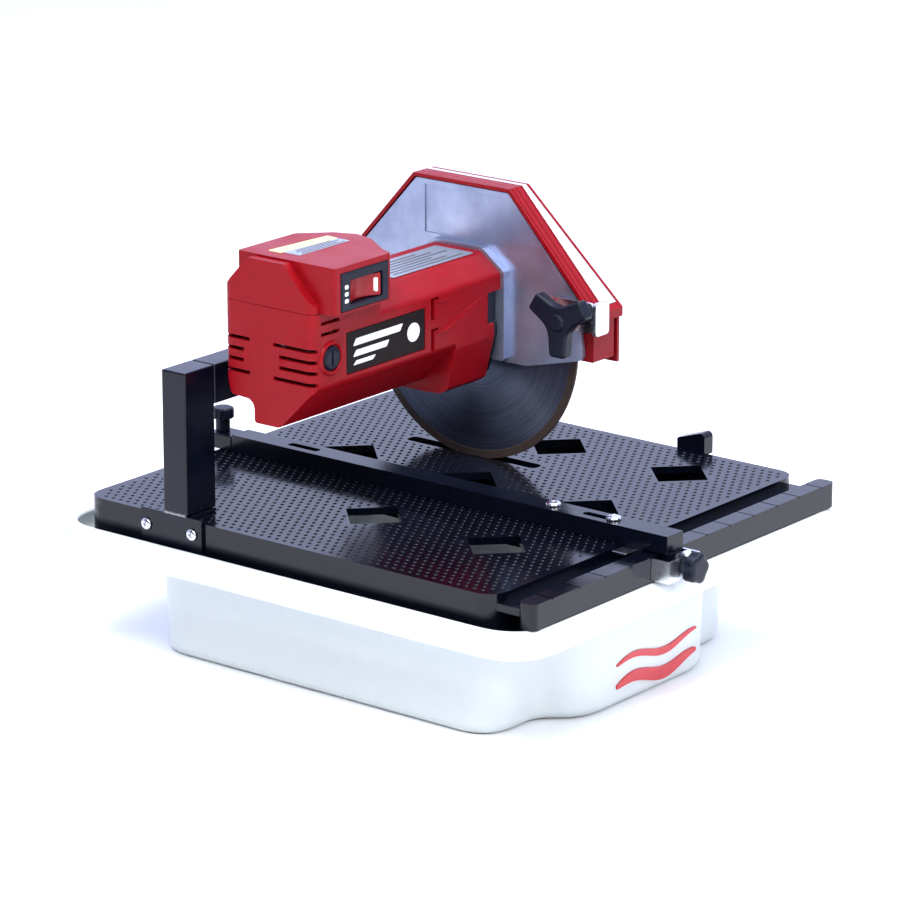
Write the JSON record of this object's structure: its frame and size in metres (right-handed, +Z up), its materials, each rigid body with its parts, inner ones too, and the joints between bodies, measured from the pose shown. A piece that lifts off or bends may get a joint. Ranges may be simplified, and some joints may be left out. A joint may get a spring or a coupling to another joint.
{
  "type": "wet tile saw",
  "caption": "Small wet tile saw: water pan, dimpled table with drain holes, geared motor on an arm over the table, guarded diamond blade and clamped rip fence.",
  "frame": {"origin": "centre of the object's footprint box, on the ground under the water pan", "axes": "+Z up, +Y the feed direction from the operator's side to the back, +X to the operator's right, along the motor"},
  "size_m": [0.367, 0.428, 0.3063],
  "materials": {
    "pan_plastic": "smooth white moulded plastic, slight sheen",
    "black_paint": "glossy black paint",
    "red_plastic": "semi-gloss red moulding",
    "black_plastic": "satin black moulding",
    "white_plastic": "satin white moulding",
    "cast_aluminium": "bright painted casting",
    "plated_steel": "zinc plated",
    "machined_steel": "machined",
    "blade_steel": "dark brushed disc with a sintered rim",
    "copper": "enamelled copper",
    "carbon": "pressed graphite"
  },
  "bodies": {
    "base": {"water_pan": "pan_plastic", "pump_housing": "black_plastic", "pump_intake_cover": "black_plastic"},
    "pump_rotor": {"pump_impeller": "white_plastic"},
    "table_unit": {"table": "black_paint", "side_bracket": "black_paint", "post_plate": "black_paint", "post": "black_paint", "arm": "black_paint", "arm_end_plate": "black_paint", "plate_screw_front": "plated_steel", "plate_screw_rear": "plated_steel", "arm_bolt_1": "plated_steel", "arm_bolt_2": "plated_steel", "motor_housing": "red_plastic", "switch_cover": "red_plastic", "switch_bezel": "black_plastic", "bearing_rear": "machined_steel", "bearing_front": "machined_steel", "stator_core": "machined_steel", "winding_rear": "copper", "winding_front": "copper", "brush_front": "carbon", "brush_rear": "carbon", "brush_cap_front": "black_plastic", "brush_cap_rear": "black_plastic", "arbor_bearing_inner": "machined_steel", "arbor_bearing_outer": "machined_steel", "gear_plate": "black_paint", "guard_plate": "cast_aluminium", "guard_hinge_pin": "plated_steel"},
    "armature": {"armature_shaft": "machined_steel", "armature_core": "machined_steel", "commutator": "copper", "fan": "black_plastic", "pinion": "machined_steel"},
    "arbor_unit": {"arbor": "machined_steel", "drive_gear": "machined_steel", "inner_flange": "plated_steel", "blade": "blade_steel", "outer_flange": "plated_steel", "arbor_nut": "plated_steel"},
    "rocker": {"switch_rocker": "red_plastic"},
    "guard": {"guard_cover": "red_plastic", "guard_edge_strip": "plated_steel", "water_inlet": "black_plastic", "flap_pin": "plated_steel"},
    "flap": {"guard_flap": "red_plastic"},
    "strap": {"guard_strap": "plated_steel"},
    "knob": {"guard_knob": "black_plastic"},
    "fence": {"fence_bar": "black_paint", "fence_head": "black_paint", "fence_pointer": "plated_steel", "fence_screw_front": "plated_steel", "fence_screw_mid": "plated_steel", "fence_rear_bracket": "black_paint"},
    "fence_clamp": {"fence_clamp_bracket": "plated_steel"},
    "clamp_knob": {"fence_knob": "black_plastic"},
    "rear_hook": {"fence_rear_hook": "plated_steel"},
    "rear_knob": {"fence_rear_knob": "black_plastic"}
  },
  "joints": [
    {"name": "table_lift", "type": "slide", "parent": "base", "child": "table_unit", "axis": [0, 0, 1], "range_m": [0, 0.15]},
    {"name": "impeller_spin", "type": "hinge", "parent": "base", "child": "pump_rotor", "pos_m": [-0.0975, 0.125, 0.022], "axis": [0, 0, 1], "continuous": true},
    {"name": "arbor_spin", "type": "hinge", "parent": "table_unit", "child": "arbor_unit", "pos_m": [0.0707, 0.046, 0.1983], "axis": [1, 0, 0], "continuous": true},
    {"name": "armature_spin", "type": "hinge", "parent": "table_unit", "child": "armature", "pos_m": [-0.0675, 0.046, 0.229], "axis": [1, 0, 0], "continuous": true},
    {"name": "rocker_tip", "type": "hinge", "parent": "table_unit", "child": "rocker", "pos_m": [-0.107, 0.004, 0.2735], "axis": [0, 0, 1], "range_deg": [0, 16]},
    {"name": "guard_lift", "type": "hinge", "parent": "table_unit", "child": "guard", "pos_m": [0.0725, 0.14, 0.2], "axis": [-1, 0, 0], "range_deg": [0, 60]},
    {"name": "flap_swing", "type": "hinge", "parent": "guard", "child": "flap", "pos_m": [0.0725, -0.0542, 0.229], "axis": [1, 0, 0], "range_deg": [0, 25]},
    {"name": "strap_slide", "type": "slide", "parent": "table_unit", "child": "strap", "axis": [-1, 0, 0], "range_m": [0, 0.0015]},
    {"name": "guard_knob_turn", "type": "hinge", "parent": "strap", "child": "knob", "pos_m": [0.0375, -0.0542, 0.229], "axis": [-1, 0, 0], "range_deg": [0, 360]},
    {"name": "fence_slide", "type": "slide", "parent": "table_unit", "child": "fence", "axis": [1, 0, 0], "range_m": [-0.1, 0.08]},
    {"name": "clamp_slide", "type": "slide", "parent": "fence", "child": "fence_clamp", "axis": [0, -1, 0], "range_m": [0, 0.0015]},
    {"name": "clamp_knob_turn", "type": "hinge", "parent": "fence_clamp", "child": "clamp_knob", "pos_m": [-0.025, -0.207, 0.105], "axis": [0, -1, 0], "range_deg": [0, 360]},
    {"name": "rear_knob_turn", "type": "hinge", "parent": "fence", "child": "rear_knob", "pos_m": [-0.02425, 0.1915, 0.132], "axis": [0, 0, 1], "range_deg": [0, 360]},
    {"name": "rear_hook_slide", "type": "slide", "parent": "fence", "child": "rear_hook", "axis": [0, 0, -1], "range_m": [0, 0.0015]}
  ],
  "couplings": [
    {"joint": "armature_spin", "follows": "arbor_spin", "ratio": -2.6},
    {"joint": "guard_knob_turn", "follows": "strap_slide", "rad_per_m": 4188.8},
    {"joint": "clamp_knob_turn", "follows": "clamp_slide", "rad_per_m": 4188.8},
    {"joint": "rear_knob_turn", "follows": "rear_hook_slide", "rad_per_m": 4188.8}
  ]
}
